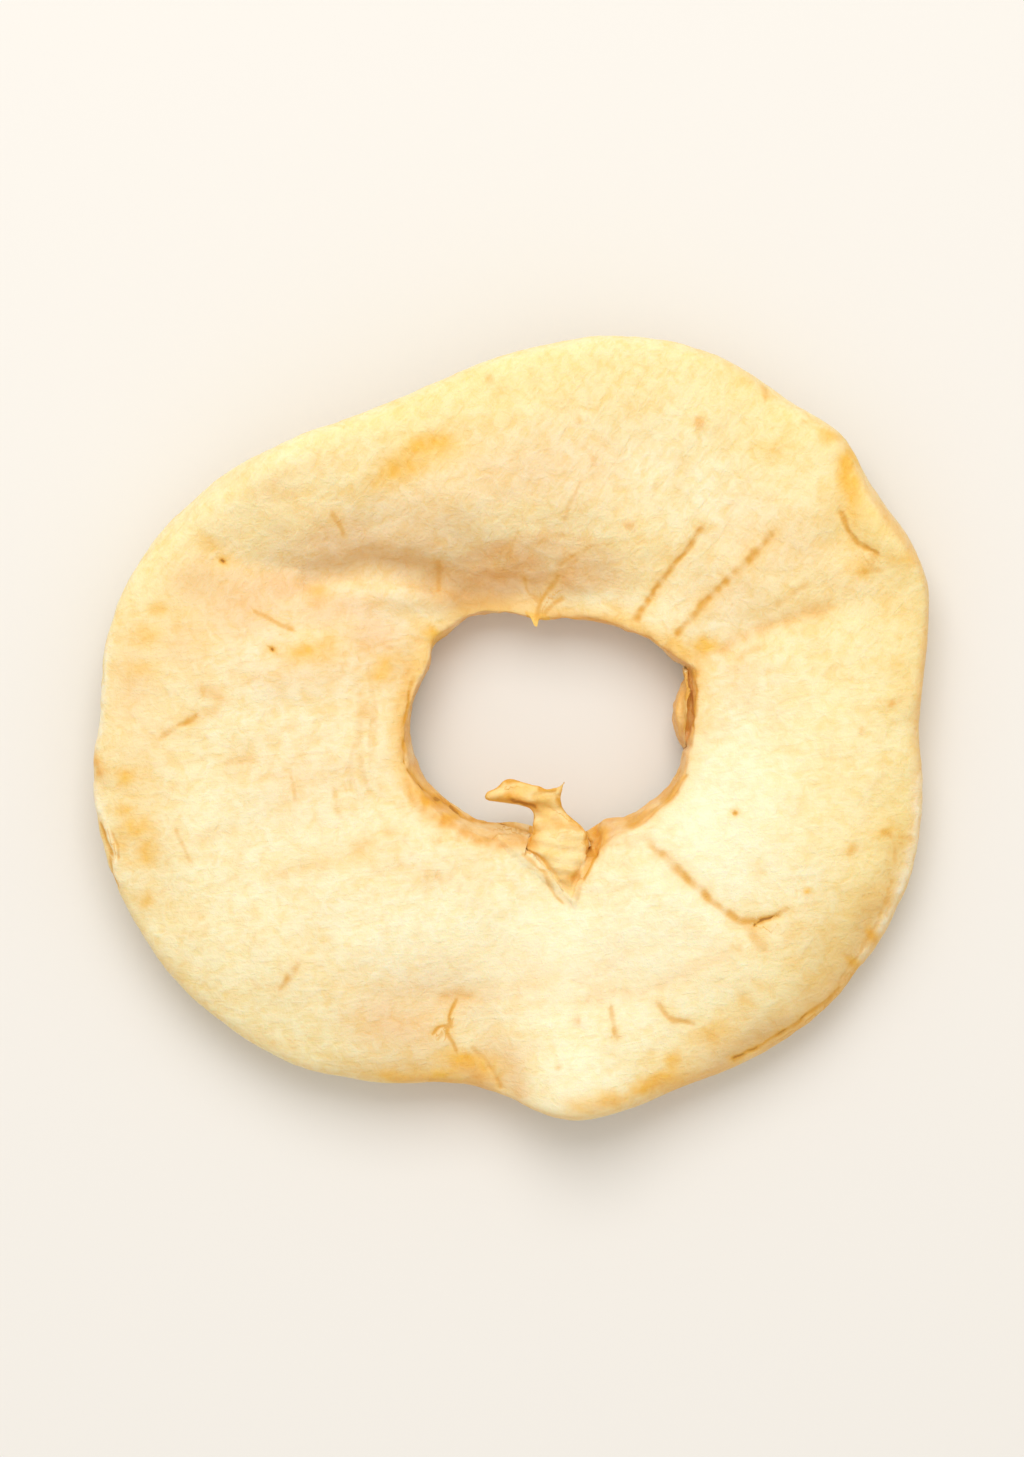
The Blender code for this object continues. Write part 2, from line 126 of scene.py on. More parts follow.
# %% Lines of the top side
# (pixels of the photograph, half width mm, depth mm, brownness, beading)
LINES = (
    (((533, 791), (545, 788), (555, 786), (560, 794)), 0.35, 0.05, 0.30, 0.3),
    (((557, 791), (568, 801), (583, 814), (592, 823), (600, 828), (609, 829)), 0.24, 0.12, 0.80, 0.6),
    (((608, 831), (613, 827), (619, 825)), 0.17, 0.25, 1.00, 0.0),
    (((617, 826), (624, 822)), 0.18, 0.10, 0.60, 0.3),
    (((606, 830), (608, 836), (612, 841)), 0.28, 0.06, 0.40, 0.0),
    (((582, 631), (573, 643), (565, 653), (556, 664), (549, 677)), 0.20, 0.12, 0.82, 0.5),
    (((616, 635), (606, 646), (597, 655), (585.5, 666), (578, 674), (570, 684)), 0.24, 0.12, 0.82, 0.7),
    (((645, 670), (632, 674), (615, 680), (600, 687), (592, 692)), 0.40, 0.12, 0.40, 0.4),
    (((633, 660), (626, 665), (619, 669)), 0.22, 0.05, 0.35, 0.6),
    (((610, 690), (601, 695)), 0.30, 0.05, 0.35, 0.3),
    (((651.5, 624), (655, 632), (660, 639), (670, 644)), 0.18, 0.25, 0.80, 0.2),
    (((653, 588), (655, 603), (654, 620)), 0.50, 0.20, 0.00, 0.0),
    (((667, 644), (667, 651)), 0.15, 0.05, 0.30, 0.0),
    (((663, 653), (671, 652)), 0.20, 0.08, 0.50, 0.3),
    (((452, 867), (457, 866), (465, 866)), 0.30, 0.06, 0.35, 0.0),
    (((459, 868), (455, 876), (454, 884), (458.5, 893)), 0.13, 0.12, 0.85, 0.3),
    (((456, 881), (450, 881.5), (446, 885)), 0.13, 0.12, 0.80, 0.2),
    (((453, 884), (449, 888)), 0.11, 0.08, 0.50, 0.2),
    (((311, 736), (315, 732), (320, 729.5)), 0.15, 0.10, 0.40, 0.6),
    (((319, 730), (323, 728), (328, 725.5)), 0.19, 0.12, 0.80, 0.3),
    (((340.8, 647.4), (342.0, 648.4)), 0.17, 0.16, 1.00, 0.0),
    (((366.8, 691.5), (367.8, 692.1)), 0.17, 0.16, 1.00, 0.0),
    (((598.5, 773.8), (599.5, 774.2)), 0.14, 0.16, 0.90, 0.0),
    (((327, 726), (338, 723)), 0.30, 0.05, 0.25, 0.0),
    (((332, 711), (341, 717)), 0.40, 0.04, 0.35, 0.3),
    (((344, 748), (350, 747), (357, 746)), 0.25, 0.05, 0.30, 0.3),
    (((411, 720), (409, 738), (404, 750), (405.5, 762)), 0.20, 0.08, 0.24, 0.5),
    (((411, 745), (412, 755), (415, 763)), 0.18, 0.08, 0.24, 0.3),
    (((397, 762), (399, 770), (401, 776)), 0.18, 0.06, 0.22, 0.3),
    (((376, 755), (378, 767)), 0.18, 0.06, 0.30, 0.3),
    (((414, 700), (417, 720), (418, 745)), 0.20, 0.06, 0.18, 0.5),
    (((319, 782), (322, 790), (325, 797)), 0.14, 0.08, 0.40, 0.3),
    (((379, 850), (375, 856), (370, 862)), 0.22, 0.08, 0.60, 0.7),
    (((358, 673), (366, 677), (377, 682)), 0.15, 0.06, 0.60, 0.4),
    (((442, 873), (460, 867), (482, 862), (498, 862)), 0.50, 0.08, 0.15, 0.3),
    (((520, 870), (537, 864), (551, 864), (569, 856), (586, 849), (600, 841)), 0.40, 0.08, 0.20, 0.3),
    (((536, 871), (538, 880), (539, 888)), 0.15, 0.10, 0.45, 0.4),
    (((538, 882), (538.5, 885)), 0.18, 0.05, 0.75, 0.0),
    (((560, 870), (565, 876), (569, 879), (577, 879)), 0.18, 0.12, 0.62, 0.4),
    (((466, 892), (473, 897), (478, 904), (480, 912)), 0.14, 0.12, 0.45, 0.3),
    (((397, 624), (401.5, 633)), 0.20, 0.05, 0.55, 0.3),
    (((449.5, 648), (450, 661)), 0.22, 0.05, 0.52, 0.3),
    (((391, 658), (389, 667)), 0.40, 0.05, 0.30, 0.3),
    (((613, 555), (614, 566)), 0.20, 0.05, 0.45, 0.0),
    (((673, 784), (677, 785.5)), 0.26, 0.05, 0.70, 0.2),
    (((682, 786), (688, 786.5)), 0.16, 0.05, 0.45, 0.5),
    (((656, 794), (659, 790)), 0.26, 0.05, 0.30, 0.0),
    (((676, 720), (682, 716)), 0.24, 0.05, 0.25, 0.2),
    (((679, 792), (679, 799)), 0.14, 0.05, 0.35, 0.3),
    (((366, 806), (400, 797), (424, 783)), 0.50, 0.05, 0.20, 0.5),
    # The trough at the foot of the terrace with a little painted shade along it, the ridge above it,
    # and the ridge below it, whose slight paleness is painted light.
    (((386, 658), (398, 654), (411, 650), (430, 651), (447, 656)), 0.80, 0.95, 0.12, 0.0),
    (((384, 645), (400, 639), (418, 637), (440, 639), (456, 644)), 0.95, -0.40, 0.00, 0.0),
    (((410, 666), (422, 663), (437, 663), (446, 666)), 0.75, -0.30, -0.10, 0.0),
    (((447, 656), (470, 660), (495, 661)), 0.90, 0.15, 0.00, 0.0),
    (((505, 674), (530, 678), (545, 683), (560, 691), (572, 698)), 0.35, 0.00, 0.50, 0.4),
    (((434, 700), (432, 720), (431, 742), (434, 752)), 0.30, 0.00, 0.35, 0.5),
    (((483, 640), (479, 650)), 0.20, 0.05, 0.20, 0.3),
    (((398, 598), (378, 604), (360, 615)), 0.50, 0.06, 0.15, 0.3),
    (((499, 676), (501, 668), (506, 661), (509, 655)), 0.17, 0.08, 0.70, 0.3),
    (((501, 668), (495, 664), (492, 657)), 0.13, 0.06, 0.45, 0.3),
    (((503, 673), (508, 668), (512, 666)), 0.15, 0.08, 0.60, 0.2),
    (((500, 640), (505, 636), (512, 635)), 0.13, 0.06, 0.30, 0.4),
    (((483, 652), (486, 642), (489, 633)), 0.13, 0.06, 0.25, 0.4),
    (((512, 628), (517, 616), (521, 608)), 0.14, 0.06, 0.35, 0.5),
    (((511, 650), (518, 645), (527, 640)), 0.14, 0.06, 0.35, 0.5),
)
# The lip of skin along the rim, the torn lines in the wall, and the grooves of the notch, whose brown
# beside the flake is partly painted shadow, seen from above.
# A negative depth stands up, and a negative brownness is pale.
STEEP_LINES = (
    (((678, 808), (674, 819), (669, 831), (663, 841), (657, 851), (651, 860)), 0.13, 0.16, 0.50, 0.7),
    (((651, 862), (642, 870), (632, 878), (621, 885), (609, 892), (598, 898)), 0.12, 0.16, 0.95, 0.3),
    (((663, 851), (655, 862), (645, 873), (634, 882), (622, 889)), 0.10, 0.12, 0.60, 0.6),
    (((672, 829), (667, 838), (661, 847)), 0.35, -0.12, -0.50, 0.5),
    (((691, 757), (690.5, 775), (689, 789), (686, 801), (681, 813), (676, 824), (672, 832)),
     0.26, -0.10, -0.85, 0.2),
    (((285, 687), (282.5, 700), (281.5, 715), (280, 730), (279, 741)), 0.18, -0.08, -0.90, 0.2),
    (((274, 746), (278, 748), (280, 753)), 0.30, -0.15, 0.70, 0.4),
    (((277, 760), (279, 768), (282, 777)), 0.25, -0.28, -0.80, 0.5),
    (((283, 781), (285, 787), (288, 793)), 0.16, -0.22, -0.90, 0.3),
    (((288, 798), (287, 803), (290, 809)), 0.16, -0.22, -0.90, 0.3),
    (((280, 779), (282, 786), (284, 791), (286, 795)), 0.11, 0.20, 0.80, 0.2),
    (((286, 783), (289, 790), (289, 797)), 0.10, 0.12, 0.55, 0.3),
    (((285, 797), (286, 803), (288, 811)), 0.11, 0.20, 0.80, 0.3),
    (((435, 752), (441, 759), (446, 764), (455, 770), (462, 775.5), (471, 778), (487, 780.5),
      (497, 784)), 0.15, 0.12, 0.97, 0.2),
    (((437, 706), (434.4, 714), (433.2, 722), (432.4, 731), (432.2, 740), (433, 748)),
     0.13, 0.10, 0.90, 0.5),
    (((434, 758), (438, 768), (444, 774), (454, 779), (467, 787), (480, 790), (492, 790)),
     0.30, 0.14, 0.55, 0.5),
    (((471, 787), (482, 786), (491, 788)), 0.18, 0.08, 0.50, 0.2),
    (((530, 778), (542, 770), (555, 762), (570, 754)), 0.20, 0.10, 0.60, 0.3),
    (((545, 778), (556, 774), (563, 768), (569, 761), (573, 755)), 0.24, 0.12, 0.65, 0.4),
    # The grooves either side of the flake in the notch: their brown is partly painted shadow.
    (((491, 795), (497, 799), (502, 804), (506, 812), (512, 819)), 0.10, 0.12, 0.55, 0.3),
    (((528, 781), (529, 787), (527.5, 794)), 0.30, 0.25, 0.85, 0.1),
    (((527.5, 794), (525, 800), (521, 807)), 0.17, 0.25, 0.90, 0.1),
    (((521, 807), (519, 817)), 0.17, 0.10, 0.30, 0.1),
    (((573.5, 704), (574, 712), (573.5, 722), (572.5, 732)), 0.16, 0.10, 0.92, 0.2),
    (((577.5, 703), (578.5, 712), (578, 722), (576.5, 731)), 0.20, 0.08, 0.70, 0.3),
)
# The brown edges and the folds of the flake in the notch.
FLAKE_LINES = (
    (((484, 758), (489, 757)), 0.25, 0.00, 0.85, 0.0),
    (((472, 767), (479, 767.5), (485, 766)), 0.20, 0.03, 0.75, 0.0),
    (((485, 766), (489, 769.5), (493, 770.5), (498, 771)), 0.33, 0.06, 0.95, 0.0),
    (((500, 762.5), (508, 762)), 0.16, 0.00, 0.85, 0.0),
    (((512, 759), (511, 765)), 0.15, 0.00, 0.50, 0.0),
    (((510, 767), (513, 771), (517, 776)), 0.20, 0.04, 0.90, 0.0),
    (((497, 782), (506, 780), (514, 780), (522, 779)), 0.28, 0.08, 0.45, 0.2),
    (((494, 782), (496, 790)), 0.33, 0.06, 0.80, 0.2),
    (((524, 783), (524, 790), (525.5, 796), (524, 801), (521, 806)), 0.20, 0.06, 0.80, 0.2),
    (((513, 786), (521, 786)), 0.25, 0.06, 0.10, 0.3),
    (((510, 791), (523, 792)), 0.25, 0.06, 0.12, 0.3),
    (((515, 807), (521, 805)), 0.45, 0.05, 0.60, 0.0),
)


def away_from_line(places, line):
    """Distance of each place from a broken line, the run along it and how far left of it, in mm."""
    corners = [from_photo(*corner) for corner in line]
    nearest = np.full(len(places), np.inf)
    along = np.zeros(len(places))
    left = np.zeros(len(places))
    run = 0.0
    for start, end in zip(corners, corners[1:]):
        step = end - start
        length = math.hypot(*step)
        gap = places - start
        share = np.clip(gap @ step / length**2, 0, 1)
        away = np.linalg.norm(gap - share[:, None] * step, axis=1)
        closer = away < nearest
        along[closer] = (run + share * length)[closer]
        left[closer] = ((step[0] * gap[:, 1] - step[1] * gap[:, 0]) / length)[closer]
        nearest[closer] = away[closer]
        run += length
    return nearest, along, left


print("slits and wrinkles:", len(LINES) + len(STEEP_LINES) + len(FLAKE_LINES))

# %% [markdown]
# Faces near a slit are cut again, and twice where it is a deep one, so a slit a fifth of a
# millimetre wide is a real groove in the mesh. Each cut makes four faces of one, so cutting the
# whole slice twice would take sixteen times the faces.

# %% Cut the faces near the lines finer
def plan_places(coordinates):
    """Places in millimetres about the hole, from coordinates in metres."""
    return coordinates[:, :2] / MM - np.array(HOLE_MIDDLE)


def refine_near_lines(mesh, lines, reach, lowest):
    """Cuts in four each face within reach, in mm, of a line and facing at least so far up."""
    shape = bmesh.new()
    shape.from_mesh(mesh)
    faces = [face for face in shape.faces if face.normal.z > lowest]
    middles = plan_places(np.array([face.calc_center_median() for face in faces]))
    close = np.zeros(len(faces), bool)
    for line, half_width, *_ in lines:
        close |= away_from_line(middles, line)[0] < half_width + reach
    edges = {edge for face, is_close in zip(faces, close) if is_close for edge in face.edges}
    bmesh.ops.subdivide_edges(shape, edges=list(edges), cuts=1, use_grid_fill=True)
    shape.to_mesh(mesh)
    shape.free()


# The half width below which a line is thin, the depth of a slit and the margin beside it, in mm.
THIN, DEEP, SLIT_MARGIN = 0.30, 0.12, 0.12
# How far up a normal points at least, on the top side and on the walls.
ON_TOP, ON_WALLS = 0.3, -0.2
slits = [line for line in LINES if line[1] < THIN and line[2] >= DEEP]
refine_near_lines(fine, slits, SLIT_MARGIN, ON_TOP)
refine_near_lines(fine, STEEP_LINES + FLAKE_LINES, 0.0, ON_WALLS)
refine_near_lines(fine, [line for line in slits if line[2] > DEEP], 0.0, ON_TOP)
print("faces with the slits refined:", len(fine.polygons))

# %% [markdown]
# ## Where each point of the skin is
# The relief and the colours both need to know where a point lies: how far across the band from
# the hole to the rim, at which angle, and which way it faces. numpy holds these as whole arrays,
# which is far quicker than asking each vertex in turn.

# %% Angle, share across the band and facing
def vertex_values(mesh, what, width):
    """A property of every vertex as an array with width columns."""
    values = np.empty(len(mesh.vertices) * width, np.float32)
    mesh.vertices.foreach_get(what, values)
    return values.reshape(-1, width).astype(float)


def smooth_share(value, low, high):
    """0 at low, 1 at high and an even S curve between them."""
    share = np.clip((value - low) / (high - low), 0, 1)
    return share * share * (3 - 2 * share)


def around(stations, angle):
    """Value at each angle, in degrees, of a closed line through (angle, value) stations."""
    angles, values = zip(*stations)
    return np.interp(angle, angles, values, period=360)


coordinates = vertex_values(fine, "co", 3)
facing = vertex_values(fine, "normal", 3)
places = plan_places(coordinates)
height = coordinates[:, 2] / MM
radius = np.hypot(places[:, 0], places[:, 1])
angle = np.degrees(np.arctan2(places[:, 1], places[:, 0])) % 360
outwards = places / radius[:, None]
facing_out = (facing[:, :2] * outwards).sum(axis=1)

# The top edge of the hole: (angle, radius mm).
HOLE_EDGE = (
    (0, 10.5), (17, 11.3), (24, 11.5), (41, 10.1), (63, 9.0), (88, 8.3), (113, 9.6),
    (137, 10.7), (145, 11.1), (171, 10.9), (199, 11.2), (235, 10.0), (252, 9.4), (264, 10.0),
    (269, 10.9), (276, 13.0), (282, 11.4), (290, 10.0), (299, 9.4), (315, 9.9), (338, 10.5),
)
BIN_DEGREES, HALF_WINDOW = 5, 3
bins = np.arange(0, 360, BIN_DEGREES)
rim_edge = [(b, radius[np.abs((angle - b + 180) % 360 - 180) < HALF_WINDOW].max()) for b in bins]
hole_radius = around(HOLE_EDGE, angle)
rim_radius = around(rim_edge, angle)
across = np.clip((radius - hole_radius) / (rim_radius - hole_radius), 0, 1)
up = smooth_share(facing[:, 2], 0.05, 0.5)
print("rim from", round(min(r for _, r in rim_edge), 1), "to", round(max(r for _, r in rim_edge), 1))

# %% [markdown]
# ## What the corer left
# The wall of the hole, the flake in its south notch and the thin leaf on its east side are
# bruised core flesh, rougher and more orange than the cut face. Each gets a mask from 0 to 1,
# so its relief and its colour start and end together.

# %% Masks of the cored wall, the notch, the flake and the leaf
def wedge(tip, lean, flare, edge):
    """1 inside a wedge that opens towards +Y from its tip, in mm, and leans and flares per mm."""
    past_tip = places[:, 1] - tip[1]
    inside = flare * past_tip - np.abs(places[:, 0] - tip[0] - lean * past_tip)
    return smooth_share(inside, 0, edge)


# All in mm about the hole: how far out the notch goes and its top, where the flake's root and its
# free end stop, how far out the hole's wall goes, and where the rim's side starts.
NOTCH_REACH, NOTCH_TOP = 13.6, -8.0
ROOT_END, FLAKE_END = -9.3, -3.2
WALL_REACH, SIDE_START = 14.5, 18
# The flake's right edge: how it leans, and from which y.
EDGE_LEAN, EDGE_START = 0.18, -12.7
level_up = smooth_share(facing[:, 2], -0.2, 0.3)
notch = wedge((1.85, -13.3), lean=-0.40, flare=0.78, edge=0.3) * level_up
notch *= (radius < NOTCH_REACH) * (places[:, 1] < NOTCH_TOP)
root = wedge((1.60, -12.8), lean=-0.30, flare=0.62, edge=0.3) * (places[:, 1] < ROOT_END)
# Where the flake's free end lies: (y, left side, right side), each in mm.
FLAKE_SIDES = (
    (-9.3, -2.1, 3.0), (-7.9, -1.7, 2.9), (-6.6, -1.6, 1.8), (-6.0, -1.6, 1.2), (-5.6, -2.6, 1.0),
    (-5.4, -5.6, 0.9), (-4.8, -5.2, 1.0), (-4.4, -4.5, 1.1), (-3.2, -4.2, 1.4),
)
flake_y, flake_left, flake_right = zip(*FLAKE_SIDES)
tongue = (
    (places[:, 1] > ROOT_END) & (places[:, 1] < FLAKE_END)
    & (places[:, 0] > np.interp(places[:, 1], flake_y, flake_left))
    & (places[:, 0] < np.interp(places[:, 1], flake_y, flake_right))
)
flake = np.maximum(root, tongue) * level_up
leaf = (
    smooth_share(radius, 8.0, 8.4) * smooth_share(-radius, -10.6, -10.2)
    * smooth_share(places[:, 1], -1.8, -1.2) * smooth_share(-places[:, 1], -4.9, -4.3)
    * (places[:, 0] > 0)
)
wall = smooth_share(-facing_out, 0.30, 0.75) * (radius < WALL_REACH) * (1 - notch)
right_of_flake = smooth_share(places[:, 0] - EDGE_LEAN * (places[:, 1] - EDGE_START), 1.5, 2.1)
# The floor of the notch is hardly browned, but its right side is.
browner = right_of_flake * smooth_share(places[:, 1], -11.6, -10.2)
wall = np.maximum(wall, notch * (0.12 + 0.80 * browner)) * (1 - flake) * (1 - leaf)
side = smooth_share(facing_out, 0.45, 0.85) * (radius > SIDE_START)
for name, mask in (("wall", wall), ("flake", flake), ("leaf", leaf)):
    print("share of points on the", name, round(float(mask.mean()), 3))

# %% [markdown]
# ## Relief
# Dried flesh is never smooth: soft lumps 2 to 5 mm across where the fruit's cells collapsed
# unevenly, finer crumpling, and fibres about a millimetre wide that run in one direction over
# each part of the slice. Noise gives all of them, stretched along the grain for the fibres. The
# displacement is along the normals and fades out where the slice rests on the table.

# %% Noise helpers
# How far apart in the noise two seeds lie, and a power below 1, which sharpens creases.
SEED_STEP, FOLD_POWER = 17.3, 0.7


def noise_at(points, size, seed=0.0):
    """Smooth noise from -1 to 1 at each point, with lumps of about size millimetres."""
    return np.array([noise.noise(Vector(point)) for point in points / size + seed * SEED_STEP])


def folded_noise(points, size, seed=0.0):
    """Noise with sharp creases, like wrinkles, from 0 on a crease to 1."""
    return np.abs(noise_at(points, size, seed)) ** FOLD_POWER


def turned(points, degrees, stretch):
    """The points in a frame whose first axis runs at an angle and is shrunk stretch times."""
    turn = math.radians(degrees)
    rows = np.array([[math.cos(turn) / stretch, math.sin(turn) / stretch, 0],
                     [-math.sin(turn), math.cos(turn), 0], [0, 0, 1]])
    return points @ rows.T


def layered_noise(layers):
    """Sum of layers of noise on the slice's points, each (size mm, height mm, seed)."""
    return sum(noise_at(points, size, seed) * rise for size, rise, seed in layers)


points = np.column_stack([places, height])
lumps = layered_noise(((4.6, 0.14, 1), (2.1, 0.08, 2)))
crumple = layered_noise(((1.0, 0.040, 3), (0.6, 0.022, 4)))
print("lumps from", round(lumps.min(), 3), "to", round(lumps.max(), 3), "mm")

# %% [markdown]
# Parts of the slice differ in patches with soft, ragged edges: each is an ellipse whose border
# noise pushes about. The flesh that dried whitest is also the smoothest, so its patches are
# needed for the relief as well as for the colour.

# %% Soft ragged patches
# How fast a patch ends at its border: the higher, the sharper.
SOFT_EDGE, FADED_EDGE, FIRM_EDGE, CRISP_EDGE = 2.0, 2.2, 2.4, 3.0
ragged = places + np.column_stack([
    layered_noise(((2.2, 0.5, 20),)),
    layered_noise(((2.2, 0.5, 21),)),
])


def patches(stations, edge):
    """The strongest of some soft ellipses at each point, from 0 to their strength."""
    most = np.zeros(len(places))
    for px, py, reach_x, reach_y, tilt, strength in stations:
        turn = math.radians(tilt)
        gap = (ragged - from_photo(px, py)) / PHOTO_PIXEL
        along = gap[:, 0] * math.cos(turn) + gap[:, 1] * math.sin(turn)
        over = -gap[:, 0] * math.sin(turn) + gap[:, 1] * math.cos(turn)
        away = np.hypot(along / reach_x, over / reach_y)
        most = np.maximum(most, strength * np.exp(-(away ** edge)))
    return most


# Each patch is (px, py, px reach, py reach, tilt in degrees, strength), in the photograph.
# Flesh that dried whitest, and one patch of painted light, at (366, 611) on the north slope, where the
# relief is shaded.
BLEACHED_AND_LIT = (
    (588, 780, 46, 42, 20, 0.85), (630, 735, 34, 40, 0, 0.35), (530, 850, 90, 36, 0, 0.80),
    (518, 908, 26, 26, 0, 0.75), (360, 795, 55, 35, 0, 0.35), (366, 611, 30, 10, 33, 0.45),
    (450, 835, 50, 22, 0, 0.60), (577, 812, 36, 20, -42, 0.85), (276, 762, 3, 8, 0, 0.80),
    (281, 776, 4, 8, 20, 0.80), (286, 795, 3, 9, 10, 0.70), (358, 842, 40, 22, -30, 0.38),
    (310, 722, 22, 26, 0, 0.30), (640, 762, 26, 16, 0, 0.35),
)
bleached_and_lit = patches(BLEACHED_AND_LIT, FADED_EDGE) * up
print("bleached share of the skin:", round(float(bleached_and_lit.mean()), 3))

# %% [markdown]
# The grain lies level on the west and south of the slice, rises steeply on the north terrace,
# and points at the hole in the north east. Left of the hole it bends round it. The four
# patterns are laid over each other, each weighted to its own part.

# %% Fibres
# Millimetres per radian along the ring, and what the wall's layers are shrunk by.
RING_RADIUS, LAYER_SCALE = 12.0, (3.0, 0.5, 1.6)
north = smooth_share(places[:, 1], 7.0, 12.0)
north_east = smooth_share(places[:, 0] + places[:, 1], 14.0, 20.0)
north_east *= smooth_share(places[:, 1], 2.0, 8.0)
beside_hole = smooth_share(-radius, -18.0, -13.0) * smooth_share(-places[:, 0], 3.0, 8.0)
polar = np.column_stack([np.radians(angle), radius, height])
unrolled = polar * (RING_RADIUS, 1.0, 1.0)
level_grain = folded_noise(turned(points, 6, 3.2), 0.9, 5)
steep_grain = folded_noise(turned(points, 50, 3.0), 1.1, 6)
ring_grain = folded_noise(turned(unrolled, 0, 5.0), 0.7, 7)
ray_grain = folded_noise(turned(unrolled, 90, 5.0), 0.8, 8)
fibres = level_grain * (1 - north) + steep_grain * north
fibres += (ray_grain - fibres) * north_east * 0.3
fibres += (ring_grain - fibres) * beside_hole
wall_layers = folded_noise(polar * LAYER_SCALE, 0.9, 9)
creases = smooth_share(-fibres, -0.30, -0.05) * smooth_share(noise_at(points, 3.2, 17), -0.25, 0.35)
print("share of points in creases:", round(float((creases > 0.5).mean()), 3))

# %% [markdown]
# A brown line a fifth of a millimetre wide is narrower than a face, so its colour would blur if
# it were kept as a share on each vertex. How many half widths a vertex lies to the left or right
# of the nearest line blends evenly across a face instead, and the material draws the line where
# that is near zero. Only the broad soft lines are kept as a share.

# %% Lay the relief on the mesh
# In half widths of a line: how far its groove, its halo and its noise reach.
GROOVE_WIDTHS, HALO_WIDTHS, NEAR_WIDTHS = 1.25, 2.9, 8
# In mm: the length of a wave in a line's width and of a bead, and how far apart in the noise
# two lines lie.
WAVE_LENGTH, BEAD_LENGTH, LINE_STEP = 1.1, 0.6, 3.7
# How far the width wavers, and how much of its stated depth a groove has.
WAVER, DEPTH_SHARE = 0.6, 0.7
FAR_AWAY = 99.0
# The heights of the relief, in mm.
FIBRE_RISE, TERRACE_RISE, RING_RISE = 0.05, 0.06, 0.02
LAYER_RISE, WALL_GRAIN, RIDGE_RISE, TORN_GRAIN = 0.22, 0.09, 0.06, 0.07
NOTCH_FILL, LEAF_LEAN, LEAF_TEAR = 0.40, 0.25, 0.15
# The relief fades in between these heights above the table, in mm, so the slice rests as modelled.
REST_FADE = (0.02, 0.6)
RIDGE_SPACING = 0.95


def beaded_line(line, half_width, beading, number):
    """At each point: distance from a line, its wavering width, its strength, how far left."""
    away, along, left = away_from_line(places + wobble, line)
    close = away < NEAR_WIDTHS * half_width
    row = np.full(close.sum(), number * LINE_STEP)
    run = np.column_stack([along[close], row, np.zeros(close.sum())])
    width = np.full(len(points), half_width)
    beads = np.zeros(len(points))
    width[close] *= 1 + WAVER * noise_at(run, WAVE_LENGTH, 30)
    beads[close] = 1 - beading * smooth_share(noise_at(run, BEAD_LENGTH, 31), -0.45, 0.45)
    return away, width, beads, left


wobble = np.column_stack([
    layered_noise(((1.3, 0.20, 10), (0.5, 0.07, 14))),
    layered_noise(((1.3, 0.20, 11), (0.5, 0.07, 15))),
])
groove = np.zeros(len(points))
brown = np.zeros(len(points))
halo = np.zeros(len(points))
pale = np.zeros(len(points))
from_line = np.full(len(points), FAR_AWAY)
line_brown = np.zeros(len(points))
steep = smooth_share(facing[:, 2], -0.45, -0.15)
for lines, seen in ((LINES, up), (STEEP_LINES, steep), (FLAKE_LINES, flake)):
    for number, (line, half_width, depth, brownness, beading) in enumerate(lines):
        away, width, beads, left = beaded_line(line, half_width, beading, number)
        share = np.exp(-((away / (GROOVE_WIDTHS * width)) ** 2)) * beads * seen
        soft = np.exp(-((away / (HALO_WIDTHS * width)) ** 2)) * beads * seen
        groove += DEPTH_SHARE * depth * share
        halo = np.maximum(halo, brownness * soft)
        pale = np.maximum(pale, -brownness * share)
        if half_width >= THIN:
            brown = np.maximum(brown, brownness * share)
        elif brownness > 0:
            past_end = np.sqrt(np.maximum(away**2 - left**2, 0)) / width
            nearer = away / width < np.abs(from_line)
            from_line[nearer] = (np.where(left > 0, 1, -1) * away / width)[nearer]
            fade = np.exp(-past_end**2) * smooth_share(-away / width, -5.0, -2.5)
            line_brown[nearer] = (brownness * beads * seen * fade)[nearer]
ridges = np.sin(
    places[:, 1] * 2 * math.pi / RIDGE_SPACING + places[:, 0] * 1.1 + 2.2 * noise_at(points, 1.5, 16))
torn_grain = noise_at(points, 0.6, 13)
fibre_depth = FIBRE_RISE + TERRACE_RISE * north * (1 - 0.6 * north_east) + RING_RISE * beside_hole
fibre_depth *= (1 - 0.6 * bleached_and_lit) * (1 - wall)
lift = lumps + crumple * (1 - 0.4 * bleached_and_lit) + fibre_depth * (fibres - 0.45)
lift += wall * (LAYER_RISE * (wall_layers - 0.5) + WALL_GRAIN * noise_at(points, 0.7, 12))
lift += flake * (RIDGE_RISE * ridges + TORN_GRAIN * torn_grain) + leaf * TORN_GRAIN * torn_grain
# The flake's root runs into the floor of the notch on its left.
lift += NOTCH_FILL * notch * (1 - flake) * (1 - right_of_flake)
lift = (lift - groove) * smooth_share(height, *REST_FADE)
moved = coordinates + facing * lift[:, None] * MM
# The leaf's free edge is torn, and it leans towards the wall.
moved[:, 0] += leaf * (LEAF_LEAN + LEAF_TEAR * noise_at(points, 0.7, 32)) * MM
low, high = (np.array(corner) for corner in cad_box)
moved = np.clip(moved, low, high)
fine.vertices.foreach_set("co", moved.astype(np.float32).ravel())
fine.update()
print("lift from", round(lift.min(), 3), "to", round(lift.max(), 3), "mm")

# %% [markdown]
# ## Colour, as maps on the mesh
# The colours follow places on the slice, not a repeating pattern, so each is a map of its own: a
# value on every vertex, mostly from 0 to 1, which the material reads as an attribute. Painting in
# texture space would need an image; a map made from the slice's own places needs none.

# %% Maps on the vertices
def add_map(name, values, lowest=0.0, highest=1.0):
    """Stores a value per vertex as an attribute that the material can read."""
    values = np.clip(values, lowest, highest)
    made = fine.attributes.new(name, "FLOAT", "POINT")
    made.data.foreach_set("value", values.astype(np.float32))
    print(name, "mean", round(float(values.mean()), 3))


add_map("from_line", from_line, -FAR_AWAY, FAR_AWAY)
add_map("line_brown", line_brown)
